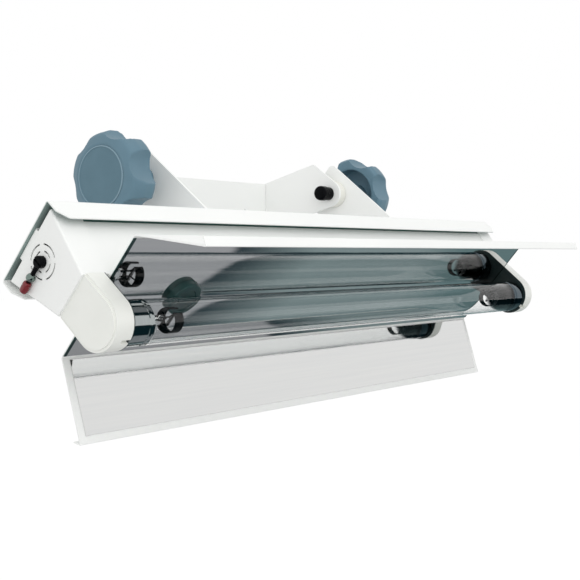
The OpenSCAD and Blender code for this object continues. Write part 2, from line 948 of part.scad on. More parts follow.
wall_yoke();
pivot_nut(-1);  // nut_left
pivot_nut(1);  // nut_right
pivot_spacer(-1);  // spacer_left
pivot_spacer(1);  // spacer_right
knob(-1);  // knob_left
knob(1);  // knob_right
face_cap(-1);  // face_cap_left
face_cap(1);  // face_cap_right
stud(-1);  // stud_left
stud(1);  // stud_right
back_cover();
ear(-1);  // ear_left
ear(1);  // ear_right
ear_rivets();
cover_screws();
chassis();
end_plate(-1, true);  // end_plate_left
end_plate(1, false);  // end_plate_right
reflector_shell();
main_mirror();
wing_mirror(0);  // upper_mirror
wing_mirror(1);  // lower_mirror
reflector_pads();
reflector_studs();
holder(-1);  // holder_left
holder(1);  // holder_right
contacts(-1);  // contacts_left
contacts(1);  // contacts_right
ballast();
starter_base();
starter();
terminal_block();
wiring();
switch_body();
switch_lever();
lever_collar();
lever_tip();
tube_glass();
cap(-1);  // cap_left
cap(1);  // cap_right
pins(-1);  // pins_left
pins(1);  // pins_right
stem(-1);  // stem_left
stem(1);  // stem_right
cathode(-1);  // cathode_left
cathode(1);  // cathode_right
rotor(-1);  // rotor_left
rotor(1);  // rotor_right
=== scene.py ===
import json
import math
import bmesh
import bpy
from mathutils import Matrix, Vector


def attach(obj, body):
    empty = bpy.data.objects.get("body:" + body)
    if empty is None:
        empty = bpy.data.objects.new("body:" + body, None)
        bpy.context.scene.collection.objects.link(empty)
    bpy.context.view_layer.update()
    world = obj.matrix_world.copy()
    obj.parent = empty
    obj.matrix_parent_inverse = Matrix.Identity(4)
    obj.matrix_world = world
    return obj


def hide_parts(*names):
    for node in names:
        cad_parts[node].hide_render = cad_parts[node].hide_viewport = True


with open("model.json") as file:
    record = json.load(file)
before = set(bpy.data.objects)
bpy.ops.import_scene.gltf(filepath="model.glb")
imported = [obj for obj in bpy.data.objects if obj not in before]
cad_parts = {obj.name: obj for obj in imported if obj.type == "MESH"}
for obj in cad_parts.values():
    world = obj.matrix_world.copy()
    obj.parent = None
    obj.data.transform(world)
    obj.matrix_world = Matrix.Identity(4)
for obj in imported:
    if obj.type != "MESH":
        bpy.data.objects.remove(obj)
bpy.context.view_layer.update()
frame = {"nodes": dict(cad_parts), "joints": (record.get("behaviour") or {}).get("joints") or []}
mm = 0.001
sides = {"left": -1, "right": 1}
joints = {joint["name"]: joint for joint in frame["joints"]}
pivot = Vector(joints["lamp_tilt"]["pos_m"])
tubeMiddle = Vector(joints["tube_twist"]["pos_m"])
leverPivot = Vector(joints["switch_turn"]["pos_m"])
restTilt = math.radians(40)  # the lamp hangs nose down by this much
tiltTurn = Matrix.Rotation(restTilt, 4, "X")  # the lamp's own directions: tube on X, +Y to the rear
pivotPlace = Matrix.Translation(pivot)
lampPlace = Matrix.Translation(tubeMiddle) @ tiltTurn
leverPlace = Matrix.Translation(leverPivot) @ tiltTurn
print("frame loaded:", len(frame["nodes"]), "nodes")


# Shader sums written as expressions
class Value:
    def __init__(self, kit, socket):
        self.kit = kit
        self.socket = socket

    def reckon(self, operation, first, second):
        return self.kit.node("ShaderNodeMath", {"operation": operation}, {0: first, 1: second})

    def __add__(self, other):
        return self.reckon("ADD", self, other)

    def __radd__(self, other):
        return self.reckon("ADD", other, self)

    def __sub__(self, other):
        return self.reckon("SUBTRACT", self, other)

    def __rsub__(self, other):
        return self.reckon("SUBTRACT", other, self)

    def __mul__(self, other):
        return self.reckon("MULTIPLY", self, other)

    def __rmul__(self, other):
        return self.reckon("MULTIPLY", other, self)


class NodeKit:
    def __init__(self, tree):
        self.tree = tree
        tree.nodes.clear()

    # every node is made here: its settings first, then the values or links of its sockets
    def node(self, kind, settings=None, inputs=None, output=0):
        made = self.tree.nodes.new(kind)
        for name, value in (settings or {}).items():
            if name == "stops":
                self.fillRamp(made.color_ramp, value)
            else:
                setattr(made, name, value)
        for name, value in (inputs or {}).items():
            if isinstance(value, Value):
                self.tree.links.new(value.socket, made.inputs[name])
            else:
                made.inputs[name].default_value = value
        return Value(self, made.outputs[output]) if made.outputs else None

    def fillRamp(self, ramp, stops):
        while len(ramp.elements) < len(stops):
            ramp.elements.new(0.5)
        for element, (position, colour) in zip(ramp.elements, stops):
            element.position = position
            element.color = colour

    def place(self, scale=(1, 1, 1), shift=(0, 0, 0), turn=0.0):
        spot = self.node("ShaderNodeTexCoord", output="Object")
        return self.node("ShaderNodeMapping", {}, {
            "Vector": spot, "Scale": scale, "Location": shift, "Rotation": (turn, 0, 0)})

    # the place in the lamp's own directions, from the middle of the tube
    def lampSpot(self):
        return self.place(shift=Matrix.Rotation(-restTilt, 3, "X") @ -tubeMiddle, turn=-restTilt)

    def axis(self, vector, name):
        return self.node("ShaderNodeSeparateXYZ", {}, {"Vector": vector}, output=name)

    # how far a spot is from the plane x = 0, to either side
    def fromMiddle(self):
        return self.node("ShaderNodeMath", {"operation": "ABSOLUTE"}, {0: self.axis(self.place(), "X")})

    def noise(self, vector, scale=1.0, detail=2.0, roughness=0.5):
        return self.node("ShaderNodeTexNoise", {}, {
            "Vector": vector, "Scale": scale, "Detail": detail, "Roughness": roughness})

    def blend(self, factor, first, second):
        return self.node("ShaderNodeMix", {"data_type": "RGBA"}, {0: factor, 6: first, 7: second}, output=2)

    # 0 at the start value, 1 at the finish, smooth between
    def step(self, value, start, finish):
        return self.node("ShaderNodeMapRange", {"interpolation_type": "SMOOTHSTEP"}, {
            "Value": value, "From Min": start, "From Max": finish})

    def bump(self, height, distance):
        return self.node("ShaderNodeBump", {}, {"Height": height, "Distance": distance, "Strength": 1.0})

    def surface(self, inputs):
        shader = self.node("ShaderNodeBsdfPrincipled", {}, inputs)
        self.node("ShaderNodeOutputMaterial", {}, {"Surface": shader})


def newFinish(name):
    material = bpy.data.materials.new(name)
    material.use_nodes = True
    return material, NodeKit(material.node_tree)


# A screen colour, 0 to 255, as the shader wants it, with the usual screen curve undone
def srgb(red, green, blue):
    shares = [value / 255 for value in (red, green, blue)]
    return tuple(s / 12.92 if s < 0.04045 else ((s + 0.055) / 1.055) ** 2.4 for s in shares) + (1.0,)


noiseMiddle = 0.5  # a noise swings about this value
grainRough = 0.06  # how much the fine grain changes a skin's roughness
lineShare = 0.6  # how much of a metal's tone follows its lines, the rest follows its clouds
lineBite = 0.6  # roughness of the noise that draws the lines
toneFade = 0.2 * mm  # width of the border between two tones on a piece


# Satin or glossy moulded or painted skin: soft tone clouds, fine grain in the bump
def skinFinish(name, look, mask=None):
    material, kit = newFinish(name)
    spot = kit.place()
    cloud = kit.noise(spot, look["cloudScale"], detail=3)
    grain = kit.noise(spot, look["grainScale"])
    tone = kit.blend(cloud, look["dark"], look["light"])
    if mask:
        tone = kit.blend(mask(kit, look), tone, look["other"])
    cloudy = look["roughness"] + look["roughSwing"] * (cloud - noiseMiddle)
    kit.surface({
        "Base Color": tone,
        "Roughness": cloudy + grainRough * (grain - noiseMiddle),
        "Normal": kit.bump(grain, look["grainDepth"]),
        "Specular IOR Level": look.get("specular", 0.5),
        "Coat Weight": look.get("coat", 0.0)})
    return material


# 1 inside the cover and on the rear of the chassis, where a darker grey-green is painted shade for the
# cover's open end and the seam gap under its flange
def insideShadePlace(kit, look):
    spot = kit.lampSpot()
    depth, across = kit.axis(spot, "Y"), kit.axis(spot, "Z")
    (front, rear), (low, high) = look["primedDepth"], look["primedAcross"]
    inDepth = kit.step(depth, front, front + toneFade) * kit.step(depth, rear + toneFade, rear)
    return inDepth * kit.step(across, low, low + toneFade) * kit.step(across, high + toneFade, high)


# 1 on the inner faces of the lampholders, next to the tube, which are painted dark as painted shade
def socketShadePlace(kit, look):
    return kit.step(kit.fromMiddle(), look["socketTo"] + toneFade, look["socketTo"])


# 1 on the bead round a knob's face disc, which is painted lighter as a painted highlight
def beadHighlightPlace(kit, look):
    spot = kit.place(shift=-pivot)
    across = kit.node("ShaderNodeCombineXYZ", {}, {"Y": kit.axis(spot, "Y"), "Z": kit.axis(spot, "Z")})
    radius = kit.node("ShaderNodeVectorMath", {"operation": "LENGTH"}, {0: across}, output="Value")
    return kit.step(radius, look["beadFrom"], look["beadTo"])


# 1 on the tube cap at the end without the switch, which is painted dark as painted shade and reflection
def farCapShadePlace(kit, look):
    return kit.step(kit.axis(kit.place(), "X"), 0.0, look["farFade"])


# Bare metal with fine lines, which run the way that its stretch is least
def metalFinish(name, look, mask=None):
    material, kit = newFinish(name)
    lines = kit.noise(kit.place(look["stretch"]), detail=4, roughness=lineBite)
    cloud = kit.noise(kit.place(), look["cloudScale"])
    tone = kit.blend(lineShare * lines + (1 - lineShare) * cloud, look["dark"], look["light"])
    if mask:
        tone = kit.blend(mask(kit, look), tone, look["other"])
    kit.surface({
        "Base Color": tone,
        "Metallic": 1.0,
        "Roughness": look["roughness"] + look["roughSwing"] * (lines - noiseMiddle),
        "Normal": kit.bump(lines, look["lineDepth"])})
    return material


paintLook = {
    "dark": srgb(238, 240, 238), "light": srgb(249, 250, 248), "roughness": 0.42, "roughSwing": 0.12,
    "cloudScale": 11, "grainScale": 900, "grainDepth": 0.03 * mm, "specular": 0.4}
# The other tone is painted shade: grey-green inside the cover's open end, and dark in the seam gap on the
# chassis rear under the cover's flange
coverLook = {
    **paintLook, "other": srgb(142, 160, 156),
    "primedDepth": (52 * mm, 68.4 * mm), "primedAcross": (-27.5 * mm, 28.7 * mm)}
chassisLook = {
    **paintLook, "other": srgb(62, 98, 92),
    "primedDepth": (58.4 * mm, 70 * mm), "primedAcross": (-40 * mm, 40 * mm)}
knobLook = {
    "dark": srgb(88, 119, 134), "light": srgb(103, 134, 150), "roughness": 0.46, "roughSwing": 0.12,
    "cloudScale": 55, "grainScale": 1500, "grainDepth": 0.04 * mm, "specular": 0.35}
# The other tone is a painted highlight on the bead round the face disc
capLook = {
    "dark": srgb(80, 111, 125), "light": srgb(96, 127, 141), "roughness": 0.5, "roughSwing": 0.1,
    "cloudScale": 70, "grainScale": 1700, "grainDepth": 0.04 * mm, "specular": 0.35,
    "other": srgb(126, 153, 166), "beadFrom": 19.4 * mm, "beadTo": 19.7 * mm}
blackLook = {
    "dark": srgb(4, 5, 7), "light": srgb(13, 14, 17), "roughness": 0.26, "roughSwing": 0.12,
    "cloudScale": 120, "grainScale": 1600, "grainDepth": 0.02 * mm, "specular": 0.05}
nylonLook = {
    "dark": srgb(226, 226, 218), "light": srgb(240, 240, 233), "roughness": 0.5, "roughSwing": 0.15,
    "cloudScale": 90, "grainScale": 1400, "grainDepth": 0.03 * mm}
# The other tone is painted shade on the lampholders' inner faces
ivoryLook = {
    "dark": srgb(234, 236, 230), "light": srgb(242, 243, 238), "roughness": 0.34, "roughSwing": 0.12,
    "cloudScale": 60, "grainScale": 1300, "grainDepth": 0.02 * mm, "specular": 0.45,
    "other": srgb(36, 52, 52), "socketTo": 242.2 * mm}
starterLook = {
    "dark": srgb(38, 72, 72), "light": srgb(54, 88, 86), "roughness": 0.36, "roughSwing": 0.14,
    "cloudScale": 160, "grainScale": 1500, "grainDepth": 0.02 * mm, "specular": 0.45}
redLook = {
    "dark": srgb(96, 10, 20), "light": srgb(128, 18, 30), "roughness": 0.22, "roughSwing": 0.1,
    "cloudScale": 300, "grainScale": 1500, "grainDepth": 0.01 * mm, "coat": 0.3}
jacketLook = {
    "dark": srgb(60, 61, 64), "light": srgb(84, 85, 88), "roughness": 0.55, "roughSwing": 0.15,
    "cloudScale": 200, "grainScale": 1200, "grainDepth": 0.03 * mm}
steelLook = {
    "dark": srgb(196, 199, 203), "light": srgb(226, 228, 230), "roughness": 0.3, "roughSwing": 0.18,
    "cloudScale": 160, "stretch": (300, 900, 900), "lineDepth": 0.01 * mm}
brassLook = {
    "dark": srgb(190, 158, 92), "light": srgb(224, 196, 124), "roughness": 0.28, "roughSwing": 0.15,
    "cloudScale": 200, "stretch": (300, 900, 900), "lineDepth": 0.01 * mm}
# The other tone darkens the far cap: painted shade and reflection
capMetalLook = {
    "dark": srgb(150, 156, 156), "light": srgb(176, 182, 182), "roughness": 0.08, "roughSwing": 0.06,
    "cloudScale": 90, "stretch": (700, 60, 60), "lineDepth": 0.012 * mm,
    "other": srgb(66, 80, 88), "farFade": 1 * mm}
chromeLook = {
    "dark": srgb(96, 112, 106), "light": srgb(132, 146, 140), "roughness": 0.08, "roughSwing": 0.05,
    "cloudScale": 300, "stretch": (400, 400, 400), "lineDepth": 0.004 * mm}
cathodeLook = {
    "dark": srgb(10, 11, 12), "light": srgb(26, 28, 29), "roughness": 0.55, "roughSwing": 0.2,
    "cloudScale": 400, "grainScale": 1500, "grainDepth": 0.02 * mm, "specular": 0.2}
ballastLook = {
    "dark": srgb(96, 99, 104), "light": srgb(150, 154, 158), "roughness": 0.45, "roughSwing": 0.2,
    "cloudScale": 80, "stretch": (20, 1500, 1500), "lineDepth": 0.05 * mm}
whitePaint = skinFinish("whitePaint", paintLook)
coverPaint = skinFinish("coverPaint", coverLook, insideShadePlace)
chassisPaint = skinFinish("chassisPaint", chassisLook, insideShadePlace)
knobPlastic = skinFinish("knobPlastic", knobLook)
knobCapPlastic = skinFinish("knobCapPlastic", capLook, beadHighlightPlace)
blackPlastic = skinFinish("blackPlastic", blackLook)
paleNylon = skinFinish("paleNylon", nylonLook)
ivoryPlastic = skinFinish("ivoryPlastic", ivoryLook, socketShadePlace)
starterPlastic = skinFinish("starterPlastic", starterLook)
redPlastic = skinFinish("redPlastic", redLook)
wireJacket = skinFinish("wireJacket", jacketLook)
zincSteel = metalFinish("zincSteel", steelLook)
brass = metalFinish("brass", brassLook)
capMetal = metalFinish("capMetal", capMetalLook, farCapShadePlace)
chrome = metalFinish("chrome", chromeLook)
cathodeMetal = skinFinish("cathodeMetal", cathodeLook)
ballastIron = metalFinish("ballastIron", ballastLook)

# Polished sheet: long rolling waves that draw reflections out along the tube, and ends painted dark
# grey-green as painted shade and reflection
mirrorLook = {
    "dark": srgb(214, 215, 215), "light": srgb(223, 223, 221), "roughness": 0.035, "roughSwing": 0.03,
    "waveStretch": (2.5, 55, 55), "waveDepth": 0.1 * mm, "lineStretch": (8, 420, 420),
    "lineDepth": 0.008 * mm, "shadedEndFrom": 237.8 * mm, "shadedEndTone": srgb(52, 76, 74)}


def mirrorFinish(look):
    material, kit = newFinish("mirrorSheet")
    waves = kit.noise(kit.place(look["waveStretch"]), detail=1)
    lines = kit.noise(kit.place(look["lineStretch"]), detail=3, roughness=lineBite)
    height = look["waveDepth"] * waves + look["lineDepth"] * lines
    # the last strip at each end is painted dark: painted shade and reflection
    end = kit.step(kit.fromMiddle(), look["shadedEndFrom"], look["shadedEndFrom"] + toneFade)
    kit.surface({
        "Base Color": kit.blend(end, kit.blend(lines, look["dark"], look["light"]), look["shadedEndTone"]),
        "Metallic": 1.0,
        "Roughness": look["roughness"] + look["roughSwing"] * (lines - noiseMiddle),
        "Normal": kit.bump(height, 1.0)})  # the height is a length already
    return material


mirrorSheet = mirrorFinish(mirrorLook)

# Clear tube, with the dark film that the cathode leaves at the far end
glassLook = {
    "clear": (0.985, 0.992, 0.99, 1), "soot": (0.03, 0.036, 0.04, 1), "sootFrom": 216 * mm,
    "sootTo": 224 * mm, "ragged": 6 * mm, "raggedScale": 140, "roughness": 0.01, "ior": 1.22}


def tubeFinish(look):
    material, kit = newFinish("clearGlass")
    spot = kit.place()
    along = kit.axis(spot, "X")
    ragged = look["ragged"] * (kit.noise(spot, look["raggedScale"], detail=3) - noiseMiddle)
    soot = kit.step(along + ragged, look["sootFrom"], look["sootTo"])
    kit.surface({
        "Base Color": kit.blend(soot, look["clear"], look["soot"]),
        "Roughness": look["roughness"],
        "IOR": look["ior"],
        "Transmission Weight": 1.0})
    return material


clearGlass = tubeFinish(glassLook)
print("finishes made:", len(bpy.data.materials))

creaseAngle = 50  # degrees, edges sharper than this stay crisp
arcSteps = 4  # steps of a rounded corner in a turned section
reachLimit = 0.49  # the share of a side that a rounded corner may take
turnWeld = 0.0005 * mm  # points closer than this are one after a spin
sliverSize = 0.003 * mm  # smaller faces are cleared after the scoops are drawn
wireRoundness = 2  # the more, the rounder a wire is


def addObject(name, bm, finish):
    mesh = bpy.data.meshes.new(name)
    bm.to_mesh(mesh)
    bm.free()
    mesh.materials.append(finish)
    thing = bpy.data.objects.new(name, mesh)
    bpy.context.scene.collection.objects.link(thing)
    return thing


# A bmesh becomes a piece that rides on a body and stands for CAD nodes
def addPiece(name, bm, body, finish, standsFor):
    piece = addObject(name, bm, finish)
    piece.data.shade_smooth()
    piece.data.set_sharp_from_angle(angle=math.radians(creaseAngle))
    flatter = piece.modifiers.new("flatFaces", "WEIGHTED_NORMAL")
    flatter.keep_sharp = True
    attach(piece, body)
    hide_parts(*standsFor)


def nodeBox(node, place):
    back = place.inverted()
    points = [back @ vert.co for vert in frame["nodes"][node].data.vertices]
    return [Vector([pick(point[axis] for point in points) for axis in range(3)]) for pick in (min, max)]


def bevelEdges(bm, edges, offset, segments):
    if edges:
        bmesh.ops.bevel(bm, geom=edges, offset=offset, offset_type="OFFSET", segments=segments, profile=0.5,
                        affect="EDGES", clamp_overlap=True, material=-1)


def faceWidth(face):
    return 2 * face.calc_area() / face.calc_perimeter()


# Edges where two faces meet at more than this many degrees
def cornerEdges(bm, angle):
    limit = math.radians(angle)
    return [e for e in bm.edges if len(e.link_faces) == 2 and e.calc_face_angle() > limit]


# How CAD copies are softened: lengths in millimetres, angles in degrees
softening = {
    "weld": 0.002, "flat": 0.5, "foldAngle": 25, "rimAngle": 40, "wide": 3, "foldSegments": 3,
    "edgeSegments": 2}


# A copy of a CAD node with its folds rounded and its edges broken
def softCopy(node, look):
    bm = bmesh.new()
    bm.from_mesh(frame["nodes"][node].data)
    bmesh.ops.remove_doubles(bm, verts=bm.verts, dist=softening["weld"] * mm)
    bmesh.ops.dissolve_limit(bm, angle_limit=math.radians(softening["flat"]), verts=bm.verts, edges=bm.edges)
    wide = look.get("wide", softening["wide"]) * mm  # a fold has two faces wider than this
    folds = [e for e in cornerEdges(bm, softening["foldAngle"]) if min(map(faceWidth, e.link_faces)) > wide]
    outer = [e for e in folds if e.calc_face_angle_signed() > 0]
    inner = [e for e in folds if e.calc_face_angle_signed() < 0]
    if "innerFold" in look:
        bevelEdges(bm, inner, look["innerFold"] * mm, softening["foldSegments"])
        outer = [e for e in outer if e.is_valid]
    bevelEdges(bm, outer, look["fold"] * mm, softening["foldSegments"])
    rims = cornerEdges(bm, softening["rimAngle"])
    bevelEdges(bm, rims, look["edge"] * mm, softening["edgeSegments"])
    return bm


# Corners are (along, out, rounding), and each rounding becomes a short curve
def roundCorners(corners, closed):
    points = []
    last = len(corners) - 1
    for index, (along, out, rounding) in enumerate(corners):
        corner = Vector((along, out))
        if not rounding or not (closed or 0 < index < last):
            points.append(corner)
            continue
        before = Vector(corners[index - 1][:2]) - corner
        after = Vector(corners[0 if index == last else index + 1][:2]) - corner
        reach = rounding / math.tan(before.angle(after) / 2)
        start = corner + before.normalized() * min(reach, reachLimit * before.length)
        finish = corner + after.normalized() * min(reach, reachLimit * after.length)
        for step in range(arcSteps + 1):
            share = step / arcSteps
            points.append(start * (1 - share) ** 2 + corner * 2 * share * (1 - share) + finish * share ** 2)
    return points


# Turns a half section, in millimetres along and out from X, into a round body
def spinBody(corners, steps, closed=False, spacing=0):
    bm = bmesh.new()
    verts = [bm.verts.new((p.x * mm, 0, p.y * mm)) for p in roundCorners(corners, closed)]
    pairs = list(zip(verts, verts[1:])) + ([(verts[-1], verts[0])] if closed else [])
    for pair in pairs:
        bm.edges.new(pair)
    if spacing:
        for edge in list(bm.edges):
            cuts = int(edge.calc_length() / (spacing * mm))
            if cuts:
                bmesh.ops.subdivide_edges(bm, edges=[edge], cuts=cuts)
    bmesh.ops.spin(bm, geom=bm.verts[:] + bm.edges[:], cent=(0, 0, 0), axis=(1, 0, 0), angle=2 * math.pi,
                   steps=steps, use_merge=True)
    bmesh.ops.remove_doubles(bm, verts=bm.verts, dist=turnWeld)
    bmesh.ops.recalc_face_normals(bm, faces=bm.faces)
    return bm


# A box with its sizes in millimetres and its middle this far along X
def boxBody(sizes, along):
    bm = bmesh.new()
    bmesh.ops.create_cube(bm, size=mm)
    bmesh.ops.scale(bm, vec=sizes, verts=bm.verts)
    bmesh.ops.translate(bm, vec=(along * mm, 0, 0), verts=bm.verts)
    return bm


# Sets a right-hand body in place, or its mirror image on the left
def setPlace(bm, place, side=1):
    if side < 0:
        bmesh.ops.scale(bm, vec=(-1, 1, 1), verts=bm.verts)
        bmesh.ops.reverse_faces(bm, faces=bm.faces)
    bmesh.ops.transform(bm, matrix=place, verts=bm.verts)
    return bm


def joinBodies(bm, other):
    mesh = bpy.data.meshes.new("join")
    other.to_mesh(mesh)
    other.free()
    bm.from_mesh(mesh)
    bpy.data.meshes.remove(mesh)


# Adds a round wire through points given in millimetres
def addWire(bm, points, radius):
    curve = bpy.data.curves.new("wire", "CURVE")
    curve.dimensions = "3D"
    curve.bevel_depth = radius * mm
    curve.bevel_resolution = wireRoundness
    curve.use_fill_caps = True
    spline = curve.splines.new("POLY")
    spline.points.add(len(points) - 1)
    for spot, point in zip(spline.points, points):
        spot.co = (*(Vector(point) * mm), 1)
    carrier = bpy.data.objects.new("wire", curve)
    mesh = bpy.data.meshes.new_from_object(carrier)
    bm.from_mesh(mesh)
    bpy.data.objects.remove(carrier)
    bpy.data.curves.remove(curve)
    bpy.data.meshes.remove(mesh)


# Cuts one closed body out of another
def cutAway(bm, cutter):
    meshes = []
    for body in (bm, cutter):
        meshes.append(bpy.data.meshes.new("cut"))
        body.to_mesh(meshes[-1])
        body.free()
    work, tool = [bpy.data.objects.new("cut", mesh) for mesh in meshes]
    for thing in (work, tool):
        bpy.context.scene.collection.objects.link(thing)
    knife = work.modifiers.new("knife", "BOOLEAN")
    knife.object = tool
    knife.solver = "EXACT"
    bpy.context.view_layer.update()
    result = bpy.data.meshes.new_from_object(work.evaluated_get(bpy.context.evaluated_depsgraph_get()))
    cut = bmesh.new()
    cut.from_mesh(result)
    for thing in (work, tool):
        bpy.data.objects.remove(thing)
    for mesh in (*meshes, result):
        bpy.data.meshes.remove(mesh)
    return cut


# Sheet-metal pieces, with the bend radius outside and inside each fold
sheets = {
    "wall_yoke": {"piece": "yokeSheet", "body": "yoke", "fold": 3.2, "innerFold": 1.2, "edge": 0.35},
    "back_cover": {
        "piece": "coverSheet", "body": "lamp", "finish": coverPaint, "fold": 1.6, "innerFold": 0.6,
        "edge": 0.2},
    "chassis": {
        "piece": "chassisSheet", "body": "lamp", "finish": chassisPaint, "fold": 1.5, "innerFold": 0.6,
        "edge": 0.2},
    "ear_left": {"piece": "earSheetLeft", "body": "lamp", "fold": 3.0, "innerFold": 1.0, "edge": 0.35},
    "ear_right": {"piece": "earSheetRight", "body": "lamp", "fold": 3.0, "innerFold": 1.0, "edge": 0.35},
    "end_plate_left": {"piece": "endPlateLeft", "body": "lamp", "fold": 1.3, "edge": 0.15},
    "end_plate_right": {"piece": "endPlateRight", "body": "lamp", "fold": 1.3, "edge": 0.15},
    "reflector_shell": {
        "piece": "reflectorSheet", "body": "lamp", "fold": 1.0, "innerFold": 0.4, "edge": 0.15}}
for node, make in sheets.items():
    bm = softCopy(node, make)
    addPiece(make["piece"], bm, make["body"], make.get("finish", whitePaint), [node])
print("sheet pieces made:", len(sheets))

# Lobed knob: a turned body whose skin is drawn in at six finger scoops
knob = {
    "steps": 240, "spacing": 0.9, "rimRadius": 31.2, "rimDepth": 21, "hubRadius": 9, "wellDepth": 14,
    "rimWall": 9.6, "rimFoot": 3.5, "rimFlat": 10.5, "crown": 2.4, "crownDrop": 2.2, "lobes": 6,
    "scoopRadius": 16, "scoopDepth": 6.2, "scoopMid": 9.5, "scoopLean": 3, "scoopTurn": 18,
    "scoopSoft": 0.25, "wellMargin": 0.1, "seatRadius": 20.45, "seatLip": 1.75, "seatDepth": 1.5,
    "rounds": {
        "hub": 0.8, "hubRoot": 1.0, "well": 2.5, "rimInside": 1.2, "rimHeel": 1.4, "rimSwell": 4,
        "rimShoulder": 5, "crown": 4, "lip": 1.6, "seat": 0.4, "seatFloor": 0.2}}


def softLeast(first, second, soft):
    share = max(soft - abs(first - second), 0) / soft
    return min(first, second) - share * share * soft / 4


def drawScoops(bm, look):
    rimRadius = look["rimRadius"]
    axisOut = rimRadius - look["scoopDepth"] + look["scoopRadius"]
    lean = math.tan(math.radians(look["scoopLean"]))
    pitch = 2 * math.pi / look["lobes"]
    for vert in bm.verts:
        radius = math.hypot(vert.co.y, vert.co.z) / mm
        if radius < rimRadius - look["rimWall"] + look["wellMargin"]:  # the well's wall stays round
            continue
        turn = math.atan2(-vert.co.y, vert.co.z) - math.radians(look["scoopTurn"])
        swing = (turn + pitch / 2) % pitch - pitch / 2
        far = axisOut + (vert.co.x / mm - look["scoopMid"]) * lean
        across = far * math.sin(swing)
        if abs(across) >= look["scoopRadius"]:
            continue
        cut = far * math.cos(swing) - math.sqrt(look["scoopRadius"] ** 2 - across ** 2)
        share = softLeast(radius, cut, look["scoopSoft"]) / radius
        vert.co.y *= share
        vert.co.z *= share


def makeKnob(sideName, look):
    low, high = nodeBox("knob_right", pivotPlace)
    rounds, depth, hubRadius, well = look["rounds"], look["rimDepth"], look["hubRadius"], look["wellDepth"]
    rimRadius, seat = look["rimRadius"], look["seatRadius"]
    rim = high.x / mm - depth  # back of the lobed rim
    hubBack = low.x / mm - rim
    inner = rimRadius - look["rimWall"]
    floor = depth - look["seatDepth"]
    corners = [
        (hubBack, 0, 0), (hubBack, hubRadius, rounds["hub"]), (well, hubRadius, rounds["hubRoot"]),
        (well, inner, rounds["well"]), (0, inner, rounds["rimInside"]),
        (0, rimRadius - look["rimFoot"] / 2, rounds["rimHeel"]),
        (look["rimFoot"], rimRadius, rounds["rimSwell"]), (look["rimFlat"], rimRadius, rounds["rimShoulder"]),
        (depth - look["crownDrop"], rimRadius - look["crown"], rounds["crown"]),
        (depth, seat + look["seatLip"], rounds["lip"]), (depth, seat, rounds["seat"]),
        (floor, seat, rounds["seatFloor"]), (floor, 0, 0)]
    bm = spinBody(corners, look["steps"], spacing=look["spacing"])
    drawScoops(bm, look)
    bmesh.ops.remove_doubles(bm, verts=bm.verts, dist=sliverSize)
    bmesh.ops.dissolve_degenerate(bm, edges=bm.edges, dist=sliverSize)
    bmesh.ops.translate(bm, vec=(rim * mm, 0, 0), verts=bm.verts)
    setPlace(bm, pivotPlace, sides[sideName])
    addPiece("knobGrip" + sideName.title(), bm, "knob_" + sideName, knobPlastic,
             ["knob_" + sideName])


# Face disc pressed into the knob, with a thin raised bead round it
faceDisc = {
    "steps": 128, "bead": 0.9, "beadRise": 0.35, "beadSlope": 0.3, "dish": 0.25,
    "rounds": {"back": 0.1, "rim": 0.45, "bead": 0.4, "foot": 0.3}}


def makeFaceDisc(sideName, look):
    low, high = nodeBox("face_cap_right", pivotPlace)
    rounds, radius = look["rounds"], high.z / mm
    floor, top = low.x / mm, high.x / mm
    step = radius - look["bead"]
    face = top - look["beadRise"]
    corners = [
        (floor, 0, 0), (floor, radius, rounds["back"]), (top, radius, rounds["rim"]),
        (top, step, rounds["bead"]), (face, step - look["beadSlope"], rounds["foot"]),
        (face + look["dish"], 0, 0)]
    bm = setPlace(spinBody(corners, look["steps"]), pivotPlace, sides[sideName])
    addPiece("knobFace" + sideName.title(), bm, "knob_" + sideName, knobCapPlastic,
             ["face_cap_" + sideName])


# Black cap nut: a domed barrel, a waist and a collar against the arm
capNut = {
    "steps": 64, "waist": 0.7, "waistFrom": 5.4, "waistTo": 6.6, "waistSlope": 0.6, "collarDrop": 0.5,
    "rounds": {"dome": 2.6, "barrel": 0.6, "waist": 0.3, "collar": 0.6, "seat": 0.4}}


def makeCapNut(sideName, look):
    low, high = nodeBox("nut_right", pivotPlace)
    rounds, radius = look["rounds"], high.z / mm
    tip, seat = low.x / mm, high.x / mm
    collar = radius - look["collarDrop"]
    barrelEnd = seat - look["waistTo"]
    corners = [
        (tip, 0, 0), (tip, radius, rounds["dome"]), (barrelEnd, radius, rounds["barrel"]),
        (barrelEnd + look["waistSlope"], radius - look["waist"], rounds["waist"]),
        (seat - look["waistFrom"], collar, rounds["collar"]), (seat, collar, rounds["seat"]), (seat, 0, 0)]
    bm = setPlace(spinBody(corners, look["steps"]), pivotPlace, sides[sideName])
    addPiece("capNut" + sideName.title(), bm, "yoke", blackPlastic, ["nut_" + sideName])


# Nylon spacer between a yoke arm and an ear, bored for the stud
spacer = {"steps": 64, "bore": 3.05, "boreEdge": 0.3, "edge": 0.6}


def makeSpacer(sideName, look):
    low, high = nodeBox("spacer_right", pivotPlace)
    radius, near, far = high.z / mm, low.x / mm, high.x / mm
    corners = [
        (near, look["bore"], look["boreEdge"]), (near, radius, look["edge"]), (far, radius, look["edge"]),
        (far, look["bore"], look["boreEdge"])]
    bm = setPlace(spinBody(corners, look["steps"], closed=True), pivotPlace, sides[sideName])
    addPiece("pivotSpacer" + sideName.title(), bm, "yoke", paleNylon, ["spacer_" + sideName])


for sideName in sides:
    makeKnob(sideName, knob)
    makeFaceDisc(sideName, faceDisc)
    makeCapNut(sideName, capNut)
    makeSpacer(sideName, spacer)
print("clamp pieces made")

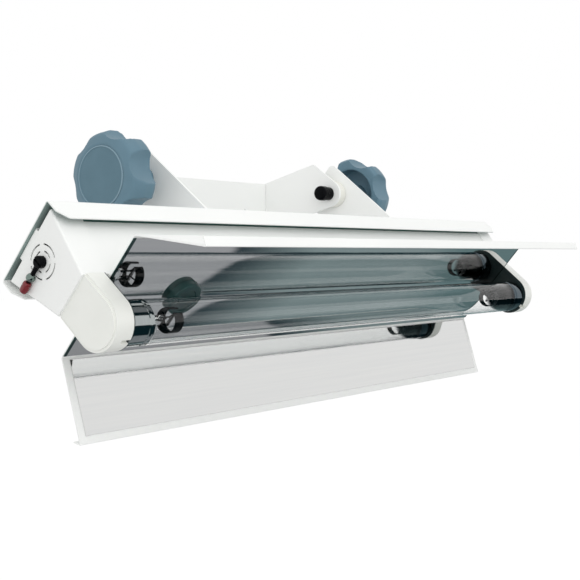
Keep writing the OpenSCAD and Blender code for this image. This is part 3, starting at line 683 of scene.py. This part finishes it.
# Lampholders and the rotors that turn in them
lampHolder = {"fold": 0.9, "edge": 0.35, "wide": 1.2}
socketRotor = {"fold": 0.3, "edge": 0.3}
for sideName in sides:
    bm = softCopy("holder_" + sideName, lampHolder)
    addPiece("lampHolder" + sideName.title(), bm, "lamp", ivoryPlastic,
             ["holder_" + sideName])
    bm = softCopy("rotor_" + sideName, socketRotor)
    addPiece("socketRotor" + sideName.title(), bm, "tube", ivoryPlastic,
             ["rotor_" + sideName])
print("lampholders made")

# Tube: glass, rolled metal caps, pinched stems, cathode frames with a coiled filament
tube = {
    "steps": 96, "wall": 1.0, "bore": 11.15, "rounds": {"shoulder": 0.7, "neckRoot": 0.2, "neckEnd": 0.3}}


def makeGlass(look):
    high = nodeBox("tube_glass", lampPlace)[1]
    rounds, radius, neckEnd = look["rounds"], high.z / mm, high.x / mm
    shoulder = nodeBox("cap_right", lampPlace)[0].x / mm
    inside = shoulder - look["wall"]
    bore, neck = look["bore"], look["bore"] + look["wall"]
    half = [
        (inside, radius - look["wall"], rounds["shoulder"]), (inside, bore, rounds["neckRoot"]),
        (neckEnd, bore, rounds["neckEnd"]), (neckEnd, neck, rounds["neckEnd"]),
        (shoulder, neck, rounds["neckRoot"]), (shoulder, radius, rounds["shoulder"])]
    other = [(-along, out, rounding) for along, out, rounding in reversed(half)]
    bm = setPlace(spinBody(half + other, look["steps"], closed=True), lampPlace)
    addPiece("tubeGlass", bm, "tube", clearGlass, ["tube_glass"])


tubeCap = {
    "steps": 96, "wall": 0.8, "floorThick": 1.6, "grooveAt": 3.2, "grooveWide": 1.2, "grooveDeep": 0.35,
    "rounds": {"floor": 0.4, "roll": 0.35, "grooveSide": 0.5, "groove": 0.6, "nose": 1.6}}


def makeTubeCap(sideName, look):
    low, high = nodeBox("cap_right", lampPlace)
    near, far, radius, rounds = low.x / mm, high.x / mm, high.z / mm, look["rounds"]
    inner = radius - look["wall"]
    groove, wide = near + look["grooveAt"], look["grooveWide"]
    floor = far - look["floorThick"]
    corners = [
        (floor, 0, 0), (floor, inner, rounds["floor"]), (near, inner, rounds["roll"]),
        (near, radius, rounds["roll"]), (groove - wide, radius, rounds["grooveSide"]),
        (groove, radius - look["grooveDeep"], rounds["groove"]),
        (groove + wide, radius, rounds["grooveSide"]), (far, radius, rounds["nose"]), (far, 0, 0)]
    bm = setPlace(spinBody(corners, look["steps"]), lampPlace, sides[sideName])
    addPiece("tubeCap" + sideName.title(), bm, "tube", capMetal, ["cap_" + sideName])


stem = {
    "steps": 48, "spacing": 1.0, "radius": 3.5, "wall": 1.0, "flareLen": 9, "throat": 1.5, "hollowEnd": 1,
    "pinchLen": 9, "pinchThin": 0.55, "pinchWide": 1.25,
    "rounds": {"end": 1.0, "foot": 4, "flare": 0.3, "rim": 0.2, "throat": 3}}


def makeStem(sideName, look):
    low, high = nodeBox("stem_right", lampPlace)
    end, seat, flare = low.x / mm, high.x / mm, high.z / mm
    rounds, radius, wall = look["rounds"], look["radius"], look["wall"]
    foot = seat - look["flareLen"]
    corners = [
        (end, 0, 0), (end, radius, rounds["end"]), (foot, radius, rounds["foot"]),
        (seat - wall, flare, rounds["flare"]), (seat, flare, rounds["rim"]),
        (seat, flare - wall, rounds["rim"]), (foot + look["throat"], radius - wall, rounds["throat"]),
        (foot - look["hollowEnd"], 0, 0)]
    bm = spinBody(corners, look["steps"], spacing=look["spacing"])
    for vert in bm.verts:
        share = max(0.0, 1 - (vert.co.x / mm - end) / look["pinchLen"])
        ease = share * share * (3 - 2 * share)
        vert.co.y *= 1 + (look["pinchThin"] - 1) * ease
        vert.co.z *= 1 + (look["pinchWide"] - 1) * ease
    setPlace(bm, lampPlace, sides[sideName])
    addPiece("tubeStem" + sideName.title(), bm, "tube", clearGlass, ["stem_" + sideName])


# postBend is (towards the stem, out) from the ring's middle, and in postKnee the out is a share of the ring
cathode = {
    "ringWide": 7.0, "ringWall": 0.5, "ringGap": 26, "ringSteps": 60, "leadRadius": 0.45, "leadSink": 1.5,
    "leadSpread": 2.6, "leadFlare": 1.6, "flareLen": 2.5, "postRoot": 1.2, "postBend": (2, 1.5),
    "postKnee": (1, 0.6), "coilRadius": 0.9, "coilTurns": 9, "coilSteps": 10, "coilWire": 0.22}


def makeCathode(sideName, look):
    low, high = nodeBox("cathode_right", lampPlace)
    ringRadius, near, wide = high.z / mm, low.x / mm, look["ringWide"]
    sunk = high.x / mm + look["leadSink"]  # the wires start inside the glass stem
    middle = near + wide / 2
    inner = ringRadius - look["ringWall"]
    bm = bmesh.new()
    section = [(near, inner), (near, ringRadius), (near + wide, ringRadius), (near + wide, inner)]
    verts = [bm.verts.new((along * mm, 0, out * mm)) for along, out in section]
    band = bm.faces.new(verts)
    setPlace(bm, Matrix.Rotation(math.radians(look["ringGap"] / 2), 4, "X"))
    bmesh.ops.spin(bm, geom=[band, *band.edges, *band.verts], cent=(0, 0, 0), axis=(1, 0, 0),
                   angle=math.radians(360 - look["ringGap"]), steps=look["ringSteps"])
    bmesh.ops.recalc_face_normals(bm, faces=bm.faces)
    spread = look["leadSpread"]
    reach = spread + look["leadFlare"]
    for lean in (-1, 1):
        bend = [
            (sunk, 0, lean * spread), (middle + look["flareLen"], 0, lean * spread),
            (middle, 0, lean * reach)]
        addWire(bm, bend, look["leadRadius"])
    (bendAt, bendOut), (kneeAt, kneeShare) = look["postBend"], look["postKnee"]
    post = [
        (sunk, look["postRoot"], 0), (middle + bendAt, bendOut, 0), (middle + kneeAt, inner * kneeShare, 0),
        (middle, inner, 0)]
    addWire(bm, post, look["leadRadius"])
    coil = []
    last = look["coilTurns"] * look["coilSteps"]
    for index in range(last + 1):
        angle = 2 * math.pi * index / look["coilSteps"]
        along = middle + look["coilRadius"] * math.cos(angle)
        coil.append((along, look["coilRadius"] * math.sin(angle), reach * (2 * index / last - 1)))
    addWire(bm, coil, look["coilWire"])
    setPlace(bm, lampPlace, sides[sideName])
    addPiece("tubeCathode" + sideName.title(), bm, "tube", cathodeMetal,
             ["cathode_" + sideName])


makeGlass(tube)
for sideName in sides:
    makeTubeCap(sideName, tubeCap)
    makeStem(sideName, stem)
    makeCathode(sideName, cathode)
print("tube made")

# Switch lever: slotted hub on a spindle, tapering rod, ball collar, capsule tip
downLever = Matrix.Rotation(math.radians(90), 4, "Y")  # turns a body on X to hang down the lever
lever = {
    "spindle": 2, "hub": 3.5, "hubFrom": 0.2, "hubSteps": 48, "slotWide": 1.1, "slotDeep": 0.8,
    "rodRoot": 1.8, "rod": 1.3, "taperEnd": 8.5, "rodEnd": 17, "rodSteps": 32, "ballSegments": 40,
    "ballRings": 24,
    "tipFrom": 14.6, "tipRadius": 2.5, "tipSteps": 40, "tipSpacing": 0.6,
    "rounds": {
        "spindle": 0.3, "hubRoot": 0.1, "hubBack": 0.3, "hubFace": 0.9, "taper": 2, "rodEnd": 0.4,
        "tipBack": 1.6, "tipNose": 2.4}}


# Hangs a body on the lever and cuts away what would pass into the end plate
def hangOnLever(bm, out, down, plateAt):
    setPlace(bm, Matrix.Translation((out, 0, -down)) @ downLever)
    cut = bmesh.ops.bisect_plane(bm, geom=bm.verts[:] + bm.edges[:] + bm.faces[:], plane_co=(plateAt, 0, 0),
                                 plane_no=(1, 0, 0), clear_inner=True)["geom_cut"]
    rim = [edge for edge in cut if isinstance(edge, bmesh.types.BMEdge)]
    if rim:
        bmesh.ops.holes_fill(bm, edges=rim, sides=0)
    return setPlace(bm, leverPlace, sides["left"])


def makeLever(look):
    low, high = nodeBox("switch_lever", leverPlace)
    face, inside, plate, rounds = -low.x / mm, -high.x / mm, look["hubFrom"], look["rounds"]
    middle = (plate + face) / 2
    hub = [
        (inside, 0, 0), (inside, look["spindle"], rounds["spindle"]),
        (plate, look["spindle"], rounds["hubRoot"]), (plate, look["hub"], rounds["hubBack"]),
        (face, look["hub"], rounds["hubFace"]), (face, 0, 0)]
    slotLong = 4 * look["hub"]  # runs out past the hub at both ends
    slot = boxBody((2 * look["slotDeep"], slotLong, look["slotWide"]), face)
    bm = cutAway(spinBody(hub, look["hubSteps"]), slot)
    rod = [
        (0, 0, 0), (0, look["rodRoot"], 0), (look["taperEnd"], look["rod"], rounds["taper"]),
        (look["rodEnd"], look["rod"], rounds["rodEnd"]), (look["rodEnd"], 0, 0)]
    stick = spinBody(rod, look["rodSteps"])
    joinBodies(bm, setPlace(stick, Matrix.Translation((middle * mm, 0, 0)) @ downLever))
    setPlace(bm, leverPlace, sides["left"])
    addPiece("switchLever", bm, "lever", blackPlastic, ["switch_lever"])
    low, high = nodeBox("lever_collar", leverPlace)
    ball = bmesh.new()
    bmesh.ops.create_uvsphere(ball, u_segments=look["ballSegments"], v_segments=look["ballRings"],
                              radius=(high.z - low.z) / 2)
    hangOnLever(ball, middle * mm, -(low.z + high.z) / 2, plate * mm)
    addPiece("leverCollar", ball, "lever", chrome, ["lever_collar"])
    tipEnd, tipRadius = -nodeBox("lever_tip", leverPlace)[0].z / mm, look["tipRadius"]
    tip = [
        (look["tipFrom"], 0, 0), (look["tipFrom"], tipRadius, rounds["tipBack"]),
        (tipEnd, tipRadius, rounds["tipNose"]), (tipEnd, 0, 0)]
    bm = spinBody(tip, look["tipSteps"], spacing=look["tipSpacing"])
    hangOnLever(bm, middle * mm, 0, plate * mm)
    addPiece("leverTip", bm, "lever", redPlastic, ["lever_tip"])


makeLever(lever)
print("lever made")

# Domed rivets through the ear feet, and pan-head screws with a cross recess in the cover
intoBody = Matrix.Rotation(math.radians(90), 4, "Z")  # turns a body on X to point to the rear
rivet = {
    "steps": 40, "shank": 2, "head": 4, "headThick": 1.2, "crown": 2.2, "rounds": {"crown": 1.0, "head": 0.3}}
coverScrew = {
    "steps": 48, "shank": 2, "pointShare": 0.7, "pointLen": 0.8, "head": 4, "headThick": 2, "crown": 3,
    "crownDrop": 0.5, "crossLong": 4.2, "crossWide": 0.9, "crossDeep": 1.1,
    "rounds": {"point": 0.3, "head": 0.3, "shoulder": 0.8, "crown": 0.6}}


def makeRivets(look):
    low, high = nodeBox("ear_rivets", lampPlace)
    rounds, crown, head, shank = look["rounds"], look["crown"], look["head"], look["shank"]
    front, back = low.y / mm, high.y / mm
    frontSeat, backSeat = front + look["headThick"], back - look["headThick"]
    corners = [
        (front, 0, 0), (front, crown, rounds["crown"]), (frontSeat, head, rounds["head"]),
        (frontSeat, shank, 0), (backSeat, shank, 0), (backSeat, head, rounds["head"]),
        (back, crown, rounds["crown"]), (back, 0, 0)]
    bm = bmesh.new()
    for x in (low.x + head * mm, high.x - head * mm):
        for z in (low.z + head * mm, high.z - head * mm):
            one = spinBody(corners, look["steps"])
            joinBodies(bm, setPlace(one, Matrix.Translation((x, 0, z)) @ intoBody))
    addPiece("earRivets", setPlace(bm, lampPlace), "lamp", zincSteel, ["ear_rivets"])


def makeScrews(look):
    low, high = nodeBox("cover_screws", lampPlace)
    tip, top, head, shank, rounds = low.y / mm, high.y / mm, look["head"], look["shank"], look["rounds"]
    seat = top - look["headThick"]
    corners = [
        (tip, 0, 0), (tip, look["pointShare"] * shank, rounds["point"]),
        (tip + look["pointLen"], shank, rounds["point"]), (seat, shank, 0), (seat, head, rounds["head"]),
        (top - look["crownDrop"], head, rounds["shoulder"]), (top, look["crown"], rounds["crown"]),
        (top, 0, 0)]
    cross = (look["crossLong"], look["crossWide"])
    bm = bmesh.new()
    for x in (low.x + head * mm, high.x - head * mm):
        one = spinBody(corners, look["steps"])
        for sizes in (cross, reversed(cross)):
            one = cutAway(one, boxBody((2 * look["crossDeep"], *sizes), top))
        joinBodies(bm, setPlace(one, Matrix.Translation((x, 0, 0)) @ intoBody))
    addPiece("coverScrews", setPlace(bm, lampPlace), "lamp", zincSteel, ["cover_screws"])


makeRivets(rivet)
makeScrews(coverScrew)
print("fixings made")

# Starter can that looks out through the reflector: rolled front edge, recess with a grip bar, two pins
starter = {
    "steps": 96, "length": 35, "recess": 7.4, "recessDeep": 0.9, "recessSlope": 0.4, "barLong": 13,
    "barWide": 2.6, "barSink": 1, "barEdge": 0.25, "pinSteps": 24, "pin": 2.3, "pinHead": 2, "pinNeck": 1.6,
    "pinSink": 1, "pinApart": 12.7,
    "rounds": {"recess": 0.4, "lip": 0.3, "edge": 1.5, "rear": 0.5, "neck": 0.2, "pinEnd": 0.4}}


def makeStarter(look):
    low, high = nodeBox("starter", lampPlace)
    front, end, radius, rounds = low.y / mm, high.y / mm, (high.x - low.x) / 2 / mm, look["rounds"]
    middle = (low.x + high.x) / 2
    rear = front + look["length"]
    deep = front + look["recessDeep"]
    can = [
        (deep, 0, 0), (deep, look["recess"], rounds["recess"]),
        (front, look["recess"] + look["recessSlope"], rounds["lip"]), (front, radius, rounds["edge"]),
        (rear, radius, rounds["rear"]), (rear, 0, 0)]
    bm = spinBody(can, look["steps"])
    barDeep = look["recessDeep"] + look["barSink"]  # from the front edge to below the recess floor
    barMiddle = deep + look["barSink"] / 2 - look["recessDeep"] / 2
    bar = boxBody((barDeep, look["barLong"], look["barWide"]), barMiddle)
    bevelEdges(bar, bar.edges[:], look["barEdge"] * mm, softening["edgeSegments"])
    joinBodies(bm, bar)
    root, headAt = rear - look["pinSink"], end - look["pinHead"]
    pin = [
        (root, 0, 0), (root, look["pinNeck"], 0), (headAt, look["pinNeck"], rounds["neck"]),
        (headAt, look["pin"], rounds["neck"]), (end, look["pin"], rounds["pinEnd"]), (end, 0, 0)]
    for lean in (-1, 1):
        one = spinBody(pin, look["pinSteps"])
        bmesh.ops.translate(one, vec=(0, 0, lean * look["pinApart"] / 2 * mm), verts=one.verts)
        joinBodies(bm, one)
    setPlace(bm, Matrix.Translation((middle, 0, 0)) @ intoBody)
    addPiece("starterCan", setPlace(bm, lampPlace), "starter", starterPlastic, ["starter"])


makeStarter(starter)
print("starter made")

# CAD nodes that keep their shape, inside the body for the most part
keptNodes = {
    zincSteel: ["stud_left", "stud_right", "reflector_studs"],
    blackPlastic: ["switch_body"],
    paleNylon: ["reflector_pads", "starter_base", "terminal_block"],
    brass: ["contacts_left", "contacts_right", "pins_left", "pins_right"],
    ballastIron: ["ballast"],
    wireJacket: ["wiring"],
    mirrorSheet: ["main_mirror", "upper_mirror", "lower_mirror"]}
for finish, names in keptNodes.items():
    for name in names:
        slots = frame["nodes"][name].data.materials
        slots.clear()
        slots.append(finish)
print("kept nodes dressed")

# Stage: floor, studio world, soft lamps, and a low glowing card of painted reflections that only gloss and
# glass see
stage = {
    "floorHeight": -0.45, "floorSize": 14, "floorTone": 0.68, "floorCloud": 0.02, "cloudScale": 3,
    "floorGlow": 0.4, "worldFill": 0.89}


# 1 for rays from the camera, from gloss and through glass, 0 for the light that falls on the object
def seenDirectly(kit):
    path = [kit.node("ShaderNodeLightPath", output=name) for name in (
        "Is Camera Ray", "Is Glossy Ray", "Is Transmission Ray")]
    return kit.node("ShaderNodeClamp", {}, {"Value": path[0] + path[1] + path[2]})


def makeFloor(look):
    material, kit = newFinish("studioFloor")
    tones = (look["floorTone"], look["floorTone"] + look["floorCloud"])
    dark, light = [(tone, tone, tone, 1) for tone in tones]
    diffuse = kit.node("ShaderNodeBsdfDiffuse", {}, {
        "Color": kit.blend(kit.noise(kit.place(), look["cloudScale"]), dark, light)})
    glow = kit.node("ShaderNodeEmission", {}, {"Strength": seenDirectly(kit) * look["floorGlow"]})
    both = kit.node("ShaderNodeAddShader", {}, {0: diffuse, 1: glow})
    kit.node("ShaderNodeOutputMaterial", {}, {"Surface": both})
    bm = bmesh.new()
    bmesh.ops.create_grid(bm, x_segments=1, y_segments=1, size=look["floorSize"] / 2)
    bmesh.ops.translate(bm, vec=(0, 0, look["floorHeight"]), verts=bm.verts)
    floor = addObject("studioFloor", bm, material)


def makeWorld(look):
    world = bpy.data.worlds.new("studio")
    bpy.context.scene.world = world
    world.use_nodes = True
    kit = NodeKit(world.node_tree)
    fill = look["worldFill"]
    sky = kit.node("ShaderNodeBackground", {}, {
        "Color": (1, 1, 1, 1), "Strength": fill + (1 - fill) * seenDirectly(kit)})
    kit.node("ShaderNodeOutputWorld", {}, {"Surface": sky})


# A glowing card below the lamp that paints reflections into polished metal and glass: pale, a dark band, then
# grey-green that dims, and dark towards the front
paleReflection, darkReflectionBand = (0.39, 0.40, 0.42, 1), (0.03, 0.05, 0.06, 1)
greenReflection, dimReflection = (0.25, 0.32, 0.33, 1), (0.14, 0.22, 0.23, 1)
paintedReflections = {
    "height": -0.44, "low": (-0.9, -2.2), "high": (3.0, 0.35), "slope": 1.4, "lineFrom": -0.24,
    "lineTo": 0.66,
    "stops": [
        (0.0, paleReflection), (0.26, paleReflection), (0.275, darkReflectionBand), (0.45, greenReflection), (0.75, greenReflection),
        (0.9, dimReflection)],
    "frontReflectionFrom": -0.35, "frontReflectionTo": -0.39, "frontReflectionTone": (0.008, 0.028, 0.036, 1)}


def makeReflectionCard(look):
    material, kit = newFinish("reflectionCard")
    spot = kit.place()
    across = kit.axis(spot, "Y")
    line = kit.axis(spot, "X") + look["slope"] * across
    share = kit.node("ShaderNodeMapRange", {}, {
        "Value": line, "From Min": look["lineFrom"], "From Max": look["lineTo"]})
    tone = kit.node("ShaderNodeValToRGB", {"stops": look["stops"]}, {"Fac": share})
    front = kit.step(across, look["frontReflectionFrom"], look["frontReflectionTo"])
    # the card glows though it is no lamp, to put these painted reflections in the mirrors
    glow = kit.node("ShaderNodeEmission", {}, {
        "Color": kit.blend(front, tone, look["frontReflectionTone"]), "Strength": 1.0})
    kit.node("ShaderNodeOutputMaterial", {}, {"Surface": glow})
    bm = bmesh.new()
    (x0, y0), (x1, y1) = look["low"], look["high"]
    verts = [bm.verts.new((x, y, look["height"])) for x, y in ((x0, y0), (x1, y0), (x1, y1), (x0, y1))]
    bm.faces.new(verts)
    card = addObject("reflectionCard", bm, material)
    card.visible_camera = card.visible_diffuse = card.visible_shadow = False


lamps = {
    "keyLamp": {"at": (-0.45, -1.5, 0.75), "size": 1.5, "power": 5},
    "sideLamp": {"at": (-1.25, -1.2, 0.4), "size": 1.2, "power": 3}}


def makeLamps(look):
    for name, lamp in look.items():
        data = bpy.data.lights.new(name, "AREA")
        data.size = lamp["size"]
        data.energy = lamp["power"]
        lampObject = bpy.data.objects.new(name, data)
        lampObject.location = lamp["at"]
        lampObject.rotation_euler = (tubeMiddle - Vector(lamp["at"])).to_track_quat("-Z", "Y").to_euler()
        lampObject.visible_glossy = False
        bpy.context.scene.collection.objects.link(lampObject)


camera = {
    "at": (-0.6680, -0.60065, -0.03894), "heading": 36.55, "pitch": -1.9, "sensor": 36, "lens": 69.49,
    "clipStart": 0.01}


def makeCamera(look):
    data = bpy.data.cameras.new("photoCamera")
    data.sensor_width = look["sensor"]
    data.lens = look["lens"]
    data.clip_start = look["clipStart"]
    eye = bpy.data.objects.new("photoCamera", data)
    heading, pitch = math.radians(look["heading"]), math.radians(look["pitch"])
    gaze = Vector((math.cos(heading) * math.cos(pitch), math.sin(heading) * math.cos(pitch), math.sin(pitch)))
    eye.location = look["at"]
    eye.rotation_euler = gaze.to_track_quat("-Z", "Y").to_euler()
    bpy.context.scene.collection.objects.link(eye)
    bpy.context.scene.camera = eye


makeFloor(stage)
makeWorld(stage)
makeReflectionCard(paintedReflections)
makeLamps(lamps)
makeCamera(camera)
bpy.context.scene.view_settings.view_transform = "Standard"
print("stage set")
